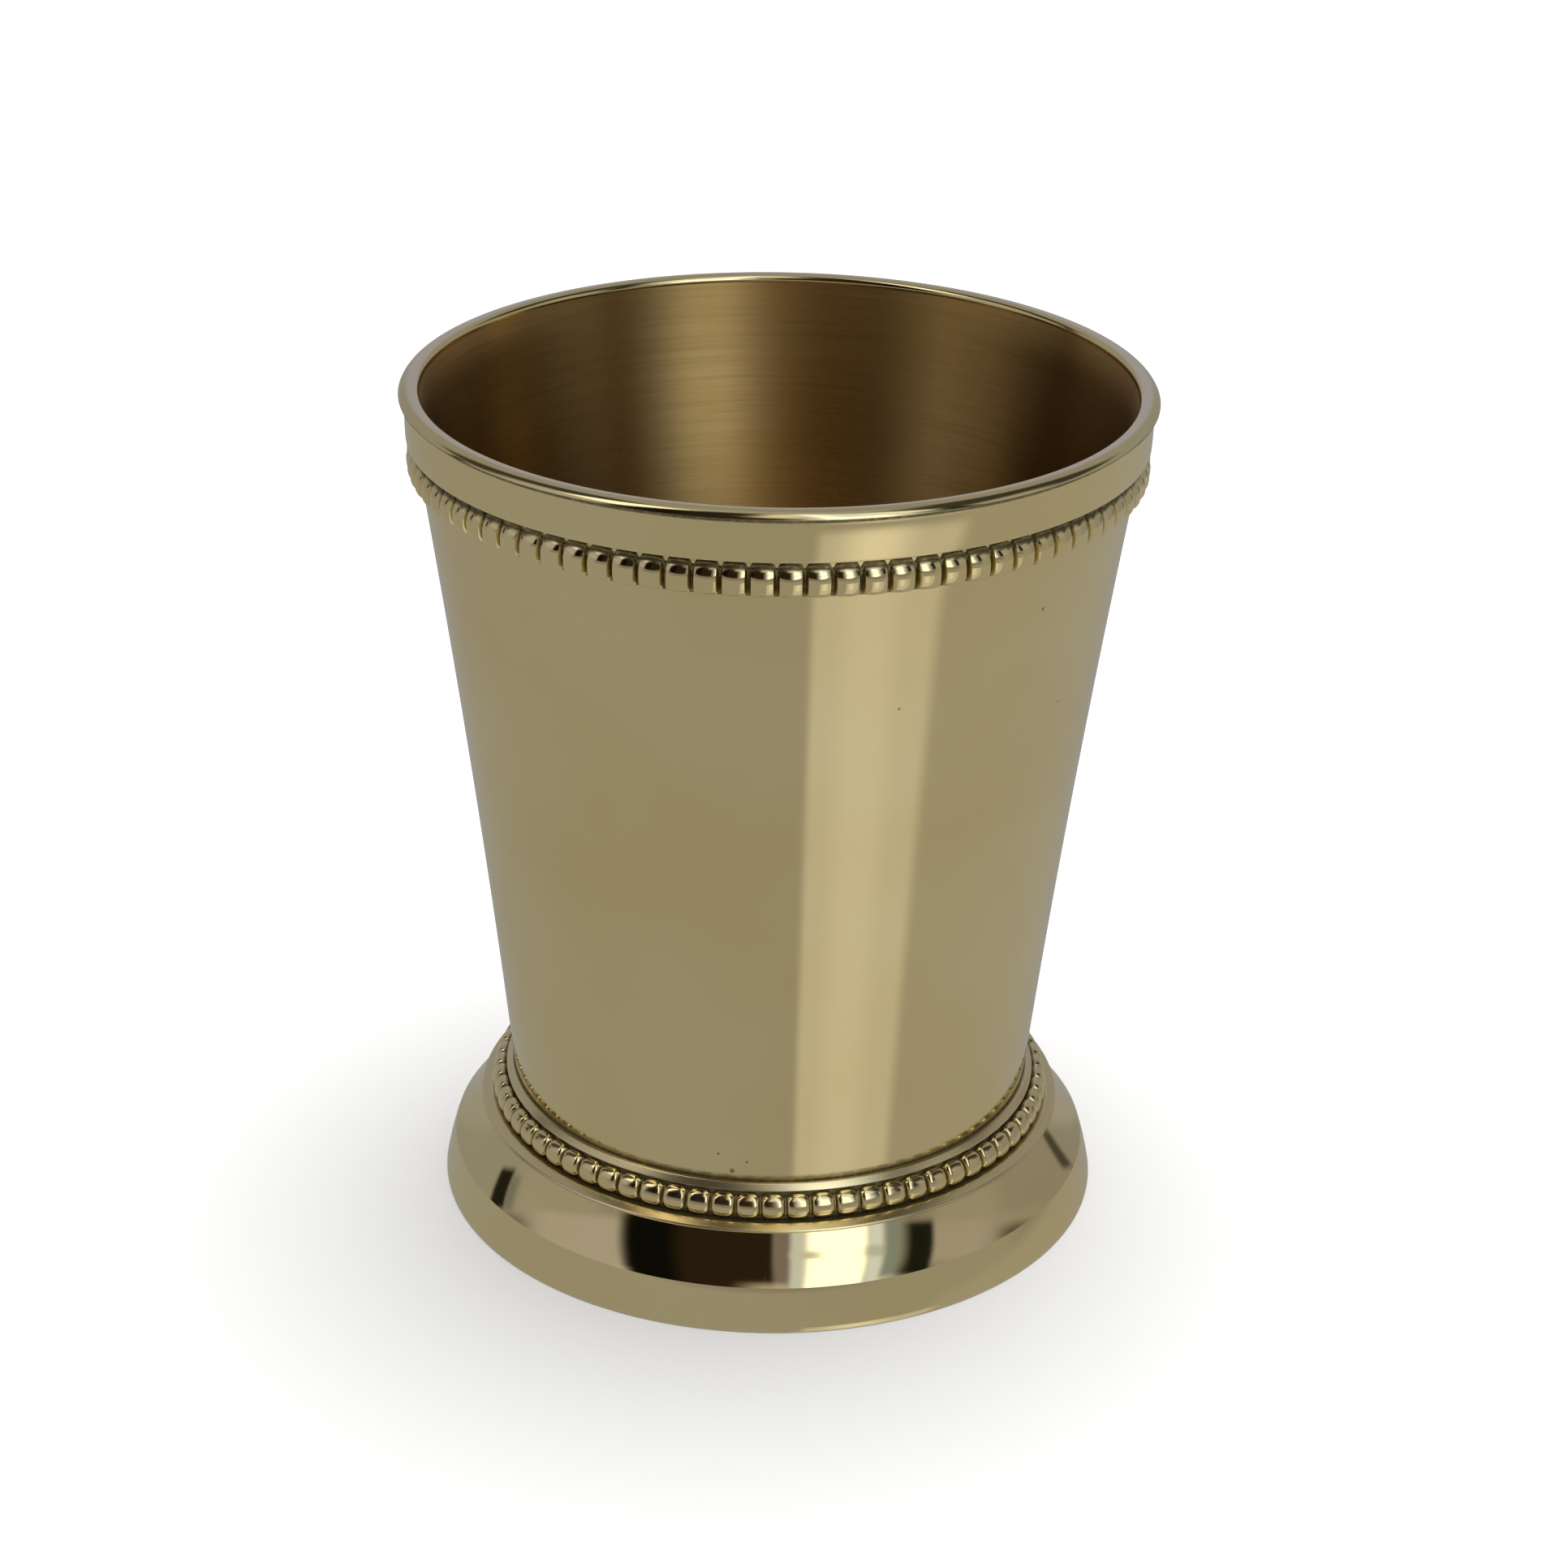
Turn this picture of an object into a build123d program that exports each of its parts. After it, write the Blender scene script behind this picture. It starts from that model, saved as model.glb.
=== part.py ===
from build123d import *
from math import sqrt
import os

# A small brass jigger in the form of a beaded julep cup.  Millimetres, +Z up.
# The origin is the centre of the ring that the foot stands on.  Every piece is
# turned or spun about Z, so each one is drawn as a section in (radius, height).

# ---------------------------------------------------------------- driving sizes
OVERALL_HEIGHT = 59.0
RIM_DIAMETER = 50.0
FOOT_DIAMETER = 46.4
SHEET = 0.65                # thickness of the spun cup wall
RIM_BEADS = 88
FOOT_BEADS = 72

# ---------------------------------------------------------------- the cup's wall
FLOOR_UNDERSIDE = 6.2       # height of the floor's lower face
FLOOR_THICKNESS = 0.8
HEEL_RADIUS = 2.4           # radial run of the turn from floor to wall
HEEL_FULLNESS = 0.75        # share of that run at which the turn's control point lies
INNER_HEEL_TOP = 8.6        # height where the turn inside the cup meets the wall
INNER_HEEL_DRAW = 0.15      # how far the inside turn's control point is drawn in
SEAT_LOW = (18.02, 7.1)     # the wall where the foot's collar grips it, low end
SEAT_HIGH = (18.207, 8.8)   # and high end
FLARE_LEAN = 0.101          # outward lean of the wall above the collar
SHOULDER = (23.68, 53.0)    # outer wall under the rim's beading
MOUTH = (24.32, 58.5)       # outer wall under the lip wire

# ---------------------------------------------------------------- the rim
LIP_INNER_RADIUS = 23.62    # inner edge of the lip wire
LIP_ROUND = 0.80            # radius of its outer face
BAND_FOOT = 55.6            # lower edge of the plain band
BAND_RADIUS = 24.60         # band at its edges
BAND_CROWN = 0.04           # how much the band swells between its edges
RIM_BEAD_HEIGHT = 2.2
RIM_BEAD_REACH = 0.74       # from the bead's own centre outwards
RIM_BEAD_CENTRE = (23.86, 54.28)
RIM_GROOVE_WIDTH = 0.50     # at the beads' crest
RIM_GROOVE_DEPTH = 0.54
RIM_GROOVE_TURN = 0.0       # angle of the first groove from +X, degrees

# ---------------------------------------------------------------- the foot
COLLAR_TOP = 8.78
COLLAR_LIP_TOP = (18.48, 8.73)  # the collar's thin upper edge
COLLAR_LIP_FOOT = (18.82, 8.30)     # lower edge of its slanting face, above the pearls
PEARL_SEAT_TOP = (18.60, 8.24)  # steep seat that the pearls lie on, top
PEARL_SEAT_FOOT = (19.22, 6.50)     # and foot
CHANNEL_END = (19.90, 6.52) # outer end of the channel under the pearls
SHELF_RADIUS = 20.55        # outer edge of the collar
SHELF_HEIGHT = 6.32
SHELF_BEVEL = 0.10          # broken edge of the shelf
FOOT_TOP = 6.15             # top face of the foot's shell
PEARL_CENTRE = (19.12, 7.40)
PEARL_HALF_LENGTH = 0.84    # the oval pearl wire, up the seat
PEARL_REACH = 0.62          # and out from the seat
PEARL_TILT = 23.5           # lean of the pearls towards the cup, degrees
FOOT_GROOVE_WIDTH = 0.46    # at the pearls' crest
FOOT_GROOVE_DEPTH = 0.50
FOOT_GROOVE_TURN = 3.7      # angle of the first groove from +X, degrees
CREASE = (22.48, 3.05)      # crisp edge between the slope and the bottom band
SLOPE_HOLLOW = (21.42, 4.31)    # control point that pulls the slope slightly concave
FOOT_SHEET = 0.8            # thickness of the foot's shell
SLOPE_THINNING = 0.35       # drop of the slope's inner control point
FLANGE_INNER_RADIUS = 18.9  # inner edge of the shell's top flange
BAND_BELLY = (22.80, 2.0)   # the bottom band's swell
FOOT_BAND_INNER_RADIUS = 21.6
FOOT_EDGE_ROUND = 0.22

# ---------------------------------------------------------------- the solder
SOLDER_INNER_RADIUS = 16.2  # how far in the solder has run under the floor
SOLDER_INNER_HEIGHT = 6.5   # inside the floor's sheet, and so cut off by it
SOLDER_HOLLOW = (17.4, 5.6)     # control point of its concave face
SOLDER_FLANGE_REVEAL = 0.1  # bare metal left at the flange's lower edge

GROOVE_CLEARANCE = 0.1      # how far a groove's cutter starts outside the beads

foot_radius = FOOT_DIAMETER / 2
rim_radius = RIM_DIAMETER / 2
lip_centre_height = OVERALL_HEIGHT - LIP_ROUND
lip_crest_radius = rim_radius - sqrt(LIP_ROUND**2 - (MOUTH[1] - lip_centre_height) ** 2)


def on_line(low, high, height):
    """Radius at a height on the straight line between two section points."""
    share = (height - low[1]) / (high[1] - low[1])
    return low[0] + share * (high[0] - low[0])


def inside(point):
    """The wall's inner face level with a point of its outer face."""
    return (point[0] - SHEET, point[1])


def flare_handle():
    """Middle control point of the parabola that the wall follows."""
    rise = (SHOULDER[1] - SEAT_HIGH[1]) / 2
    return (SEAT_HIGH[0] + FLARE_LEAN * rise, SEAT_HIGH[1] + rise)


def turned(section):
    """Turn a section in (radius, height) into a solid about Z."""
    return revolve(Plane.XZ * section, axis=Axis.Z)


def groove_wedge(root, crest, width):
    """V-shaped outline of a groove, in (distance outwards, distance along the beading)."""
    mouth = crest + GROOVE_CLEARANCE
    return make_face(Polyline((root, 0), (mouth, -width / 2), (mouth, width / 2), (root, 0)))


def grooved(ring, count, turn, cutter):
    """Cut one groove between each two beads of a beading."""
    cutters = [Rot(0, 0, turn + 360.0 * index / count) * cutter for index in range(count)]
    return ring - cutters


# ---------------------------------------------------------------- cup
def cup_section():
    outer_floor_edge = (SEAT_LOW[0] - HEEL_RADIUS, FLOOR_UNDERSIDE)
    outer_heel = (outer_floor_edge[0] + HEEL_FULLNESS * HEEL_RADIUS, FLOOR_UNDERSIDE)
    floor_top = FLOOR_UNDERSIDE + FLOOR_THICKNESS
    inner_floor_edge = (outer_floor_edge[0] - SHEET, floor_top)
    inner_heel_top = inside((on_line(SEAT_LOW, SEAT_HIGH, INNER_HEEL_TOP), INNER_HEEL_TOP))
    inner_heel = (inner_heel_top[0] - INNER_HEEL_DRAW, floor_top)
    outline = [
        Line((0, FLOOR_UNDERSIDE), outer_floor_edge),
        Bezier(outer_floor_edge, outer_heel, SEAT_LOW),
        Line(SEAT_LOW, SEAT_HIGH),
        Bezier(SEAT_HIGH, flare_handle(), SHOULDER),
        Line(SHOULDER, MOUTH),
        Line(MOUTH, inside(MOUTH)),
        Line(inside(MOUTH), inside(SHOULDER)),
        Bezier(inside(SHOULDER), inside(flare_handle()), inside(SEAT_HIGH)),
        Line(inside(SEAT_HIGH), inner_heel_top),
        Bezier(inner_heel_top, inner_heel, inner_floor_edge),
        Line(inner_floor_edge, (0, floor_top)),
        Line((0, floor_top), (0, FLOOR_UNDERSIDE)),
    ]
    return make_face(outline)


# ---------------------------------------------------------------- rim
def rim_wire_section():
    """Half-round wire: a round outer face, a crest, a tighter inner edge and a flat seat."""
    seat_inner = (LIP_INNER_RADIUS, MOUTH[1])
    seat_outer = (rim_radius, MOUTH[1])
    crest = (lip_crest_radius, OVERALL_HEIGHT)
    step = LIP_ROUND / sqrt(2)
    middle = (lip_crest_radius + step, lip_centre_height + step)
    outline = [
        Line(seat_inner, seat_outer),
        ThreePointArc(seat_outer, middle, crest),
        Bezier(crest, (LIP_INNER_RADIUS, OVERALL_HEIGHT), seat_inner),
    ]
    return make_face(outline)


def rim_band_section():
    low_inner = (on_line(SHOULDER, MOUTH, BAND_FOOT), BAND_FOOT)
    low_outer = (BAND_RADIUS, BAND_FOOT)
    high_outer = (BAND_RADIUS, MOUTH[1])
    crown = (BAND_RADIUS + BAND_CROWN, (BAND_FOOT + MOUTH[1]) / 2)
    outline = [
        Line(low_inner, low_outer),
        ThreePointArc(low_outer, crown, high_outer),
        Line(high_outer, MOUTH),
        Line(MOUTH, low_inner),
    ]
    return make_face(outline)


def rim_beading():
    oval = Pos(*RIM_BEAD_CENTRE) * Ellipse(RIM_BEAD_REACH, RIM_BEAD_HEIGHT / 2)
    hidden_radius = SHOULDER[0] - RIM_BEAD_HEIGHT
    inside_cup = Polyline(
        SHOULDER,
        MOUTH,
        (hidden_radius, MOUTH[1]),
        (hidden_radius, SHOULDER[1]),
        SHOULDER,
    )
    ring = turned(oval - make_face(inside_cup))
    crest = RIM_BEAD_CENTRE[0] + RIM_BEAD_REACH
    wedge = groove_wedge(crest - RIM_GROOVE_DEPTH, crest, RIM_GROOVE_WIDTH)
    cutter = extrude(wedge, amount=2 * RIM_BEAD_HEIGHT)
    cutter = Pos(0, 0, RIM_BEAD_CENTRE[1] - RIM_BEAD_HEIGHT) * cutter
    return grooved(ring, RIM_BEADS, RIM_GROOVE_TURN, cutter)


# ---------------------------------------------------------------- foot
def foot_collar_section():
    seat_top = (on_line(SEAT_LOW, SEAT_HIGH, COLLAR_TOP), COLLAR_TOP)
    outline = Polyline(
        SEAT_LOW,
        seat_top,
        COLLAR_LIP_TOP,
        COLLAR_LIP_FOOT,
        PEARL_SEAT_TOP,
        PEARL_SEAT_FOOT,
        CHANNEL_END,
        (SHELF_RADIUS - SHELF_BEVEL, SHELF_HEIGHT),
        (SHELF_RADIUS, SHELF_HEIGHT - SHELF_BEVEL),
        (SHELF_RADIUS, FOOT_TOP),
        (SEAT_LOW[0], FOOT_TOP),
        SEAT_LOW,
    )
    return make_face(outline)


def foot_beading():
    """Oval pearl wire leaning on its seat, with a V groove between each two pearls."""
    pearl = Pos(*PEARL_CENTRE) * Rot(0, 0, PEARL_TILT) * Ellipse(PEARL_REACH, PEARL_HALF_LENGTH)
    ring = turned(pearl - foot_collar_section())
    wedge = groove_wedge(PEARL_REACH - FOOT_GROOVE_DEPTH, PEARL_REACH, FOOT_GROOVE_WIDTH)
    cutter = Pos(0, 0, -2 * PEARL_HALF_LENGTH) * extrude(wedge, amount=4 * PEARL_HALF_LENGTH)
    cutter = Pos(PEARL_CENTRE[0], 0, PEARL_CENTRE[1]) * Rot(0, -PEARL_TILT, 0) * cutter
    return grooved(ring, FOOT_BEADS, FOOT_GROOVE_TURN, cutter)


def foot_shell_section():
    top_outer = (SHELF_RADIUS, FOOT_TOP)
    flange_low = FOOT_TOP - FOOT_SHEET
    inner_corner = (SHELF_RADIUS - FOOT_SHEET, flange_low)
    inner_hollow = (SLOPE_HOLLOW[0] - FOOT_SHEET, SLOPE_HOLLOW[1] - SLOPE_THINNING)
    inner_low = (FOOT_BAND_INNER_RADIUS, CREASE[1])
    outline = [
        Line((FLANGE_INNER_RADIUS, FOOT_TOP), top_outer),
        Bezier(top_outer, SLOPE_HOLLOW, CREASE),
        Line(CREASE, inner_low),
        Bezier(inner_low, inner_hollow, inner_corner),
        Line(inner_corner, (FLANGE_INNER_RADIUS, flange_low)),
        Line((FLANGE_INNER_RADIUS, flange_low), (FLANGE_INNER_RADIUS, FOOT_TOP)),
    ]
    return make_face(outline)


def foot_band_section():
    edge_high = (foot_radius, FOOT_EDGE_ROUND)
    edge_corner = (foot_radius, 0)
    edge_low = (foot_radius - FOOT_EDGE_ROUND, 0)
    inner_low = (FOOT_BAND_INNER_RADIUS, 0)
    inner_high = (FOOT_BAND_INNER_RADIUS, CREASE[1])
    outline = [
        ThreePointArc(CREASE, BAND_BELLY, edge_high),
        Bezier(edge_high, edge_corner, edge_low),
        Line(edge_low, inner_low),
        Line(inner_low, inner_high),
        Line(inner_high, CREASE),
    ]
    return make_face(outline)


def foot_solder_section():
    """Solder run into the corner between the cup's heel, the collar and the flange."""
    collar_foot = (SEAT_LOW[0], FOOT_TOP)
    flange_high = (FLANGE_INNER_RADIUS, FOOT_TOP)
    flange_low = (FLANGE_INNER_RADIUS, FOOT_TOP - FOOT_SHEET + SOLDER_FLANGE_REVEAL)
    inner_end = (SOLDER_INNER_RADIUS, SOLDER_INNER_HEIGHT)
    outline = [
        Line(SEAT_LOW, collar_foot),
        Line(collar_foot, flange_high),
        Line(flange_high, flange_low),
        Bezier(flange_low, SOLDER_HOLLOW, inner_end),
        Line(inner_end, SEAT_LOW),
    ]
    return make_face(outline) - cup_section()


pieces = {
    "cup_body": turned(cup_section()),
    "rim_wire": turned(rim_wire_section()),
    "rim_band": turned(rim_band_section()),
    "rim_beading": rim_beading(),
    "foot_collar": turned(foot_collar_section()),
    "foot_beading": foot_beading(),
    "foot_shell": turned(foot_shell_section()),
    "foot_band": turned(foot_band_section()),
    "foot_solder": turned(foot_solder_section()),
}

os.makedirs("parts", exist_ok=True)
for name, piece in pieces.items():
    export_step(piece, f"parts/{name}.step")
    print(name, "volume mm3", round(piece.volume, 1))
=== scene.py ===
"""A small beaded brass jigger in the shape of a julep cup, on a pale studio floor.

Sections are drawn in (radius, height) in millimetres and turned about Z.  The heights
and radii that the CAD model fixes are read from the frame; the rest are named here.
"""

import math
import random

import bpy
import numpy as np
from mathutils import Matrix, Vector


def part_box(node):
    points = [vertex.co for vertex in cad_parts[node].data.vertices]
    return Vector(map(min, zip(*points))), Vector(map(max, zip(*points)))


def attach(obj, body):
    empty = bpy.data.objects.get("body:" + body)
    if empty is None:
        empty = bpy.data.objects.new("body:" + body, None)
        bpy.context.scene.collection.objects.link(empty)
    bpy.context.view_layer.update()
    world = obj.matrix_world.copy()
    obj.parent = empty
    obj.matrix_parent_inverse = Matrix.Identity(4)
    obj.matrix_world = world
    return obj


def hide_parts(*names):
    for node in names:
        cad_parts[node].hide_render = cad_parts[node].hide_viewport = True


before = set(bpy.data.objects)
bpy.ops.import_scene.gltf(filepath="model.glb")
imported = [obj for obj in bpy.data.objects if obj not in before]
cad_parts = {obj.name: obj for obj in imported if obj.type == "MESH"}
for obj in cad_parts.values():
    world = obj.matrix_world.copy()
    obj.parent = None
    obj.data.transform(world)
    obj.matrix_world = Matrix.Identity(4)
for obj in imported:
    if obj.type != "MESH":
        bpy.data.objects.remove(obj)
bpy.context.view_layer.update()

MM = 0.001
AROUND = 288                # facets round every turned piece
SUPPORT = 0.05              # distance of the loops that keep flats flat beside a rounded edge
CORNER_ROOM = 0.48          # share of the shorter side that a rounded corner may take
DEGREES_PER_FACET = 9       # turn of the outline from facet to facet in a rounded corner
SHARP_ANGLE = math.radians(38)


# ---------------------------------------------------------------- the CAD model's sizes, mm
def reach(node):
    """(outer radius, lowest, highest) of a CAD node in millimetres."""
    low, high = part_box(node)
    return high.x / MM, low.z / MM, high.z / MM


MOUTH_RADIUS, FLOOR_UNDERSIDE, MOUTH_HEIGHT = reach("cup_body")
LIP_RADIUS, LIP_SEAT, LIP_TOP = reach("rim_wire")
BAND_RADIUS, BAND_FOOT, BAND_TOP = reach("rim_band")
BEAD_RADIUS, BEAD_FOOT, BEAD_TOP = reach("rim_beading")
SHELF_RADIUS, FOOT_TOP, COLLAR_TOP = reach("foot_collar")
CREASE_RADIUS, CREASE_HEIGHT, _ = reach("foot_shell")
FOOT_RADIUS, GROUND, _ = reach("foot_band")
SOLDER_RADIUS, FLANGE_LOW, _ = reach("foot_solder")

# ---------------------------------------------------------------- the cup's wall, mm
SHEET = 0.65                # thickness of the spun wall
FLOOR_THICKNESS = 0.8
HEEL_RUN = 2.4              # radial run of the turn from floor to wall
HEEL_FULLNESS = 0.75        # share of that run at which the turn's control point lies
INNER_HEEL_TOP = (17.534, 8.6)  # where the turn inside the cup meets the wall
INNER_HEEL_DRAW = 0.15      # how far that turn's control point is drawn in
SEAT_LOW = (18.02, 7.1)     # the wall where the foot's collar grips it, low end
SEAT_HIGH = (18.207, 8.8)   # and high end
FLARE_LEAN = 0.101          # outward lean of the wall just above the collar
FLARE_HANDLE = (20.439, 30.9)   # control point of the wall's curve
SHOULDER = (23.68, 53.0)    # outer wall under the rim's beading
PIT_LEAN = 0.122            # the wall's lean, taken as straight, on which its pits are placed

# ---------------------------------------------------------------- the rim, mm
LIP_INNER_RADIUS = 23.62
LIP_ROUND = 0.80            # radius of the lip's outer face
BAND_CROWN = 0.04           # how much the plain band swells between its edges
BAND_FOOT_INSET = 0.02      # how far its lower corner is drawn in
BAND_FOOT_ROUND = 0.10      # and how much it is rounded
RIM_BEADS = 88
RIM_BEAD_REACH = 0.74       # from the bead wire's own centre outwards
RIM_STRIP = 0.16            # bead wire left in the grooves, out from the wall
RIM_GROOVE = (0.77, 0.96)   # where a groove starts and is deepest, 1 being halfway between beads

# ---------------------------------------------------------------- the foot, mm
COLLAR_LIP_TOP = (18.48, 8.73)      # the collar's thin upper edge
COLLAR_LIP_FOOT = (18.82, 8.30)     # lower edge of its slanting face, above the pearls
PEARL_SEAT_TOP = (18.60, 8.24)      # steep seat that the pearls lean on, top
PEARL_SEAT_FOOT = (19.22, 6.50)     # and foot
CHANNEL_END = (19.90, 6.52)         # outer end of the channel under the pearls
SHELF_RISE = 0.17           # height of the collar's shelf above the foot's shell
SHELF_BEVEL = (0.08, 0.10)  # its broken edge, inwards and down
SHELF_UNDERCUT = 0.03       # how far the shelf's side slopes in towards its foot
COLLAR_TOP_INSET = 0.005    # how far in the collar's top corner lies from the seat's high end
FOOT_BEADS = 72
FOOT_GAP_TURN = 3.7         # angle of one gap between pearls, degrees from +X
PEARL_CENTRE = (19.12, 7.40)
PEARL_HALF_LENGTH = 0.84    # up the steep seat
PEARL_REACH = 0.62          # and out from it
PEARL_TILT = 23.5           # lean towards the cup, degrees
PEARL_SHARE = 0.93          # of the pitch that a pearl takes
PEARL_STRIP = (0.66, 0.17)  # half length and reach of the wire left between two pearls
PEARL_BACK = -0.30          # the wire's flat back, against the seat
FOOT_SHEET = 0.8            # thickness of the foot's shell
FOOT_INNER_RADIUS = 21.6    # inside of the foot's plain band
SLOPE_HOLLOW = (21.42, 4.31)    # control point that pulls the slope slightly concave
UNDER_HOLLOW = (20.75, 4.05)    # and the slope's underside
BAND_BELLY = (22.92, 1.75)  # control point of the foot band's swell
FOOT_EDGE_HEIGHT = 0.22     # where the foot band's face turns into its rounded edge
SOLDER_HOLLOW = (17.4, 5.6) # control point of the solder's concave face
SOLDER_INNER_RADIUS = 16.2  # how far in it has run under the floor


# ---------------------------------------------------------------- drawing sections
def bezier(start, handle, end, count):
    """Points on a parabola from start to end, both included."""
    points = []
    for step in range(count + 1):
        t = step / count
        points.append(tuple(
            (1 - t) ** 2 * a + 2 * t * (1 - t) * b + t * t * c
            for a, b, c in zip(start, handle, end)
        ))
    return points


def ellipse(centre, half_width, half_height, low_angle, high_angle, count, squareness=2.0):
    """Points on a (super)ellipse between two angles in degrees, 0 pointing outwards."""
    power = 2.0 / squareness
    points = []
    for step in range(count + 1):
        angle = math.radians(low_angle + (high_angle - low_angle) * step / count)
        across, up = math.cos(angle), math.sin(angle)
        points.append((
            centre[0] + half_width * math.copysign(abs(across) ** power, across),
            centre[1] + half_height * math.copysign(abs(up) ** power, up),
        ))
    return points


def rounded(corners):
    """Outline of a closed section from (radius, height, rounding) corners.

    Returns (points, edge): edge is 1 on a rounded corner and 0 elsewhere.
    """
    points, edge = [], []
    count = len(corners)
    for index, (radius, height, rounding) in enumerate(corners):
        here = Vector((radius, height))
        if rounding == 0:
            points.append((radius, height))
            edge.append(0.0)
            continue
        before = Vector(corners[index - 1][:2])
        after = Vector(corners[(index + 1) % count][:2])
        to_before, to_after = (before - here), (after - here)
        room = CORNER_ROOM * min(to_before.length, to_after.length)
        to_before.normalize()
        to_after.normalize()
        half = math.acos(max(-1.0, min(1.0, to_before.dot(to_after)))) / 2
        leg = min(rounding / math.tan(half), room)
        start, end = here + to_before * leg, here + to_after * leg
        if leg + SUPPORT < room:
            points.append(tuple(start + to_before * SUPPORT))
            edge.append(0.0)
        steps = max(4, round(math.degrees(math.pi - 2 * half) / DEGREES_PER_FACET))
        for point in bezier(start, here, end, steps):
            points.append(point)
            edge.append(1.0)
        if leg + SUPPORT < room:
            points.append(tuple(end + to_after * SUPPORT))
            edge.append(0.0)
    return points, edge


def plain(points):
    """Section corners, as rounded() takes them, with no rounding."""
    return [(radius, height, 0) for radius, height in points]


def inward(point):
    """The wall's inner face level with a point of its outer face."""
    return (point[0] - SHEET, point[1])


def upper_wall(height):
    """Radius of the cup's outer face at a height between its shoulder and its mouth."""
    lean = (MOUTH_RADIUS - SHOULDER[0]) / (MOUTH_HEIGHT - SHOULDER[1])
    return SHOULDER[0] + lean * (height - SHOULDER[1])


def outer_heel():
    """The turn from the floor's underside to the foot of the wall."""
    floor_edge = SEAT_LOW[0] - HEEL_RUN
    handle = (floor_edge + HEEL_FULLNESS * HEEL_RUN, FLOOR_UNDERSIDE)
    return bezier((floor_edge, FLOOR_UNDERSIDE), handle, SEAT_LOW, 10)


# ---------------------------------------------------------------- dirt and painted shade
def fade(value, full, none):
    """1 where the value is at full, 0 at none, and in between along a straight line."""
    return max(0.0, min(1.0, (value - none) / (full - none)))


def clean(radius, height):
    """Dirt and painted shade of a piece that has none."""
    return 0.0


# ---------------------------------------------------------------- meshes
def finish_piece(name, vertices, faces, materials, node, marks, face_material=None):
    """Make the mesh object, smooth, riding on the cup and standing for a node."""
    mesh = bpy.data.meshes.new(name)
    mesh.from_pydata(vertices, [], faces)
    for material in materials:
        mesh.materials.append(material)
    if face_material is not None:
        mesh.polygons.foreach_set("material_index", face_material)
    for label, values in marks.items():
        layer = mesh.attributes.new(label, "FLOAT", "POINT")
        layer.data.foreach_set("value", np.asarray(values, np.float32))
    mesh.shade_smooth()
    mesh.set_sharp_from_angle(angle=SHARP_ANGLE)
    piece = bpy.data.objects.new(name, mesh)
    bpy.context.scene.collection.objects.link(piece)
    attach(piece, "root")
    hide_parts(node)


def signed_area(points):
    """Area of a closed outline, positive if it runs anticlockwise in (radius, height)."""
    following = points[1:] + points[:1]
    return sum(a[0] * b[1] - b[0] * a[1] for a, b in zip(points, following)) / 2


def station(points, angle):
    """A section's points as vertices in metres, turned to an angle about Z."""
    across, along = math.cos(angle), math.sin(angle)
    return [(radius * across * MM, radius * along * MM, height * MM) for radius, height in points]


def closed_strip(here, there, size):
    """Faces between two stations of a closed section, given the first vertex of each."""
    faces = []
    for index in range(size):
        after = (index + 1) % size
        faces.append((here + index, there + index, there + after, here + after))
    return faces


def turn(name, section, material, node, dirt_and_shade=clean):
    """Turn a closed section, as rounded() gives it, about Z."""
    points, edge = section
    if signed_area(points) < 0:
        points, edge = points[::-1], edge[::-1]
    size = len(points)
    vertices, faces = [], []
    for step in range(AROUND):
        vertices += station(points, 2 * math.pi * step / AROUND)
        faces += closed_strip(step * size, (step + 1) % AROUND * size, size)
    marks = {"edge": edge * AROUND, "dirt_and_shade": [dirt_and_shade(r, z) for r, z in points] * AROUND}
    finish_piece(name, vertices, faces, [material], node, marks)


def turn_cup(name, outside, inside, materials, node, dirt_and_shade):
    """Turn the cup's open outline, which starts and ends on the axis, into a closed sheet.

    The outside takes the first material and the inside the second.
    """
    points = outside + inside
    rings = points[1:-1]
    size = len(rings)
    inner_from = len(outside) - 1
    vertices = [(0, 0, points[0][1] * MM), (0, 0, points[-1][1] * MM)]
    faces, face_material = [], []
    for step in range(AROUND):
        vertices += station(rings, 2 * math.pi * step / AROUND)
        here, there = 2 + step * size, 2 + (step + 1) % AROUND * size
        faces.append((0, there, here))
        face_material.append(0)
        for index in range(size - 1):
            faces.append((here + index, there + index, there + index + 1, here + index + 1))
            face_material.append(1 if index >= inner_from else 0)
        faces.append((1, here + size - 1, there + size - 1))
        face_material.append(1)
    marks = {"dirt_and_shade": [0.0, 0.0] + [dirt_and_shade(r, z) for r, z in rings] * AROUND}
    finish_piece(name, vertices, faces, materials, node, marks, face_material)


def both_sides(places):
    """Places across a bead, -1 to 1, from those of its first half."""
    return places + [-place for place in places[:0:-1]]


def bead_ring(name, count, first_gap, across, section_at, material, node):
    """A beading of count beads, whose first gap lies at an angle in degrees from +X.

    section_at(place, bead) gives the closed section and its dirt and painted shade at a place
    across a bead.
    """
    pitch = 2 * math.pi / count
    vertices, faces, marks = [], [], []
    size = 0
    for bead in range(count):
        for place in across:
            points, dirt_and_shade = section_at(place, bead)
            size = len(points)
            vertices += station(points, math.radians(first_gap) + pitch * (bead + (place + 1) / 2))
            marks += dirt_and_shade
    stations = count * len(across)
    for step in range(stations):
        faces += closed_strip(step * size, (step + 1) % stations * size, size)
    finish_piece(name, vertices, faces, [material], node, {"dirt_and_shade": marks})


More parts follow.
